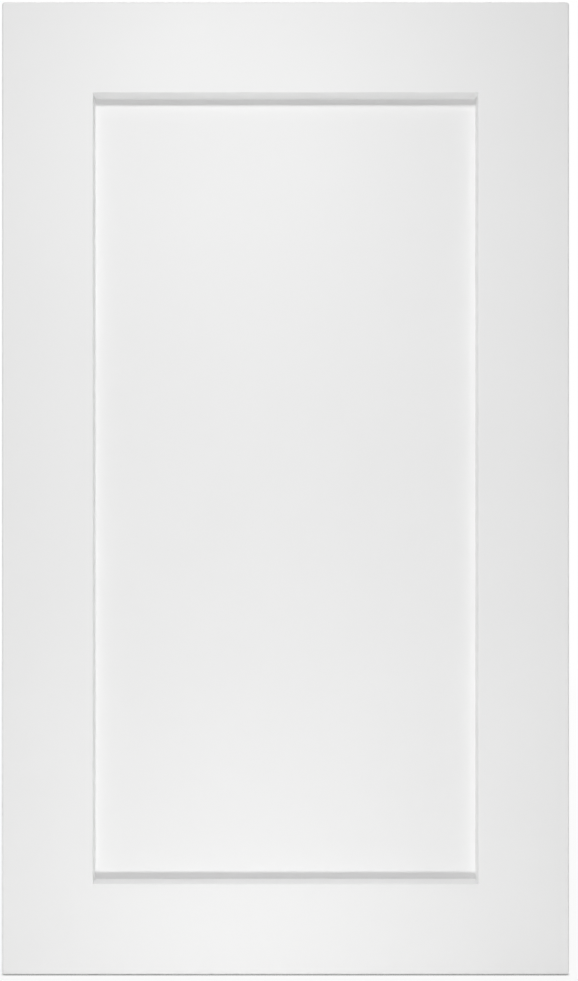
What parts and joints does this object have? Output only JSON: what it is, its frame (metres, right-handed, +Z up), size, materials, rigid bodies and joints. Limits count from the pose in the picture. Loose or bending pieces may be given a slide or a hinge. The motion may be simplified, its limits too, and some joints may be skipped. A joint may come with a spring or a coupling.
{
  "type": "kitchen cabinet door",
  "caption": "White painted shaker cabinet door: grooved stiles and rails round a recessed flat panel, bored on the back for concealed hinges.",
  "frame": {"origin": "middle of the bottom edge, half way through the thickness", "axes": "+X across the width towards the opening side, +Y from the front face to the back, +Z up the height"},
  "size_m": [0.3556, 0.019, 0.6096],
  "materials": {
    "frame_paint": "white satin lacquer on hardwood",
    "panel_paint": "white satin lacquer on fibreboard",
    "spacer_rubber": "matte",
    "pin_steel": "drawn wire"
  },
  "bodies": {
    "root": {"left_stile": "frame_paint", "right_stile": "frame_paint", "top_rail": "frame_paint", "bottom_rail": "frame_paint", "centre_panel": "panel_paint", "panel_spacer_left_1": "spacer_rubber", "panel_spacer_left_2": "spacer_rubber", "panel_spacer_left_3": "spacer_rubber", "panel_spacer_right_1": "spacer_rubber", "panel_spacer_right_2": "spacer_rubber", "panel_spacer_right_3": "spacer_rubber", "panel_spacer_top_1": "spacer_rubber", "panel_spacer_top_2": "spacer_rubber", "panel_spacer_bottom_1": "spacer_rubber", "panel_spacer_bottom_2": "spacer_rubber", "corner_pins_top_left": "pin_steel", "corner_pins_top_right": "pin_steel", "corner_pins_bottom_left": "pin_steel", "corner_pins_bottom_right": "pin_steel"}
  },
  "joints": []
}
